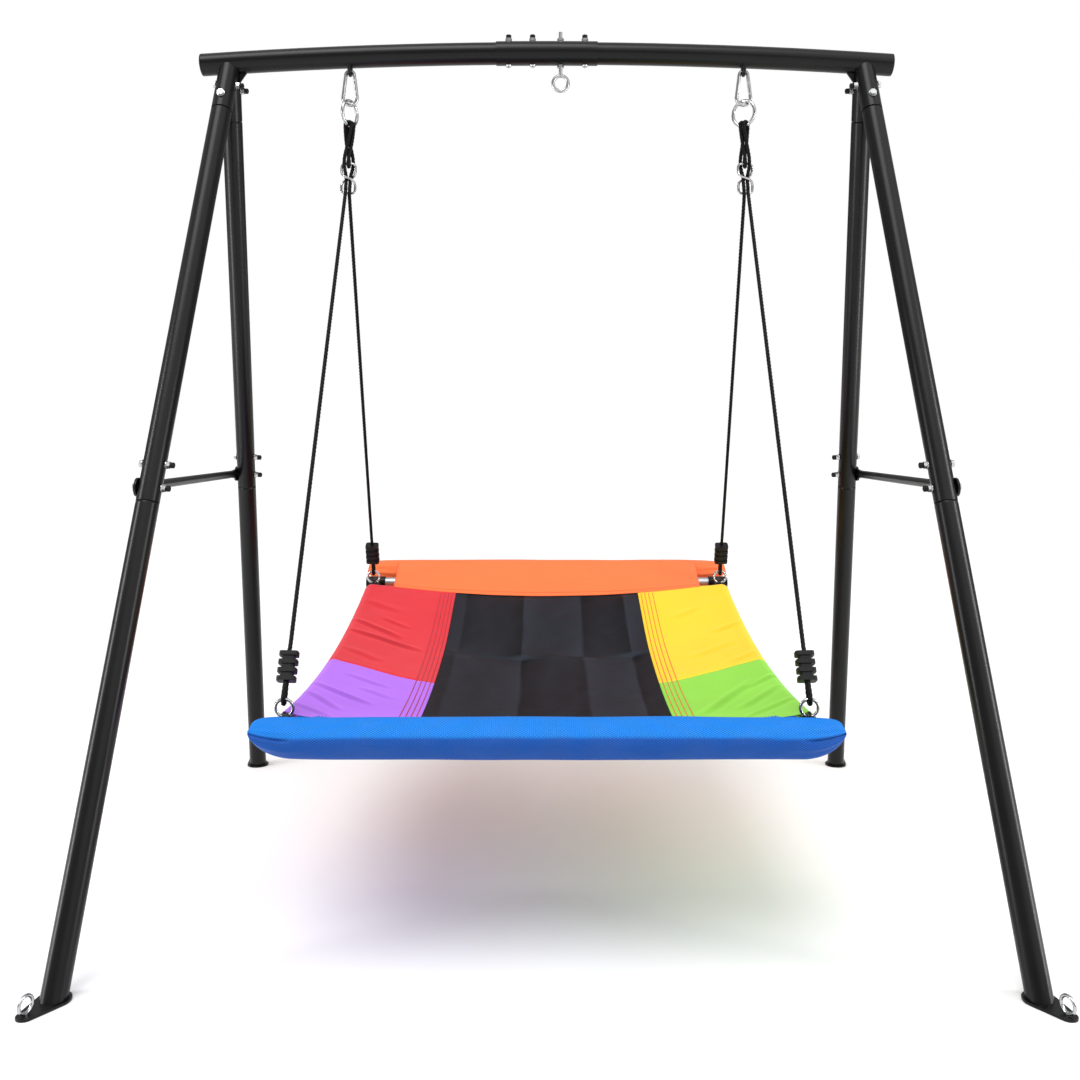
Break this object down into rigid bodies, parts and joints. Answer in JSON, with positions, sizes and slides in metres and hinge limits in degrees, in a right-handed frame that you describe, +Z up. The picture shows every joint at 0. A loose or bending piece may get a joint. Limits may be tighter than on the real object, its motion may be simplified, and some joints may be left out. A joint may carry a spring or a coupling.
{
  "type": "platform swing on A-frame stand",
  "caption": "Free-standing A-frame swing: a padded rectangular cloth mat hung by ropes, rings and carabiners from an arched top beam.",
  "frame": {"origin": "on the ground, midway between the four feet", "axes": "+Z up, +X to the right along the top beam, -Y towards the front of the swing (the blue padded edge)"},
  "size_m": [1.7182, 1.4596, 1.8497],
  "materials": {
    "frame_paint": "satin",
    "zinc_hardware": "satin",
    "bright_wire": "gloss",
    "black_plastic": "matte",
    "rope": "matte",
    "rail_steel": "satin",
    "foam": "matte",
    "blue_cloth": "satin",
    "orange_cloth": "matte",
    "red_cloth": "matte",
    "purple_cloth": "matte",
    "yellow_cloth": "matte",
    "green_cloth": "matte",
    "black_cloth": "matte"
  },
  "bodies": {
    "frame": {"beam_tube_left": "frame_paint", "beam_tube_right": "frame_paint", "beam_end_plugs": "black_plastic", "beam_sleeve": "frame_paint", "sleeve_bolts": "zinc_hardware", "sleeve_nuts": "zinc_hardware", "sleeve_caps": "black_plastic", "centre_eyebolt": "zinc_hardware", "eyebolt_nuts": "zinc_hardware", "leg_socket_front_left": "frame_paint", "leg_socket_front_right": "frame_paint", "leg_socket_rear_left": "frame_paint", "leg_socket_rear_right": "frame_paint", "gusset_plates": "frame_paint", "upper_leg_front_left": "frame_paint", "upper_leg_front_right": "frame_paint", "upper_leg_rear_left": "frame_paint", "upper_leg_rear_right": "frame_paint", "lower_leg_front_left": "frame_paint", "lower_leg_front_right": "frame_paint", "lower_leg_rear_left": "frame_paint", "lower_leg_rear_right": "frame_paint", "brace_left": "frame_paint", "brace_right": "frame_paint", "foot_plates": "frame_paint", "anchor_rings": "zinc_hardware", "joint_bolts": "zinc_hardware", "joint_washers": "zinc_hardware", "joint_nuts": "zinc_hardware", "joint_caps": "black_plastic", "hook_eye_left": "frame_paint", "hook_eye_right": "frame_paint"},
    "carabiner_left": {"carabiner_left": "bright_wire", "gate_pin_left": "bright_wire"},
    "carabiner_right": {"carabiner_right": "bright_wire", "gate_pin_right": "bright_wire"},
    "gate_left": {"gate_left": "bright_wire"},
    "gate_right": {"gate_right": "bright_wire"},
    "ropes_left": {"hanging_ring_left": "bright_wire", "buckle_left": "bright_wire", "rope_left": "rope", "rope_clamps_left": "black_plastic"},
    "ropes_right": {"hanging_ring_right": "bright_wire", "buckle_right": "bright_wire", "rope_right": "rope", "rope_clamps_right": "black_plastic"},
    "mat": {"front_rail": "rail_steel", "rear_rail": "rail_steel", "side_rail_left": "rail_steel", "side_rail_right": "rail_steel", "corner_joints": "frame_paint", "corner_rings": "bright_wire", "foam_rolls": "foam", "front_cover": "blue_cloth", "rear_cover": "orange_cloth", "panel_red": "red_cloth", "panel_purple": "purple_cloth", "panel_yellow": "yellow_cloth", "panel_green": "green_cloth", "panel_black": "black_cloth"}
  },
  "joints": [
    {"name": "swing", "type": "hinge", "parent": "frame", "child": "carabiner_left", "pos_m": [-0.444, 0, 1.7614], "axis": [1, 0, 0], "range_deg": [-40, 40]},
    {"name": "swing_right", "type": "hinge", "parent": "frame", "child": "carabiner_right", "pos_m": [0.444, 0, 1.7614], "axis": [1, 0, 0], "range_deg": [-40, 40]},
    {"name": "gate_left_open", "type": "hinge", "parent": "carabiner_left", "child": "gate_left", "pos_m": [-0.43384, 0, 1.74711], "axis": [0, 1, 0], "range_deg": [0, 20], "stiffness_Nm_per_rad": 0.05, "springref_deg": -34.38},
    {"name": "gate_right_open", "type": "hinge", "parent": "carabiner_right", "child": "gate_right", "pos_m": [0.45416, 0, 1.74711], "axis": [0, 1, 0], "range_deg": [0, 20], "stiffness_Nm_per_rad": 0.05, "springref_deg": -34.38},
    {"name": "sway", "type": "hinge", "parent": "carabiner_left", "child": "ropes_left", "pos_m": [-0.444, 0, 1.6944], "axis": [0, 0.9954, 0.0958], "range_deg": [-7, 7]},
    {"name": "sway_right", "type": "hinge", "parent": "carabiner_right", "child": "ropes_right", "pos_m": [0.444, 0, 1.6944], "axis": [0, 0.9954, 0.0958], "range_deg": [-7, 7]},
    {"name": "mat_level", "type": "hinge", "parent": "ropes_left", "child": "mat", "pos_m": [-0.47, -0.00479, 0.504], "axis": [0, 0.9954, 0.0958], "range_deg": [-7, 7]}
  ],
  "couplings": [
    {"joint": "swing_right", "follows": "swing", "ratio": 1},
    {"joint": "sway_right", "follows": "sway", "ratio": 1},
    {"joint": "mat_level", "follows": "sway", "ratio": -0.94468}
  ]
}
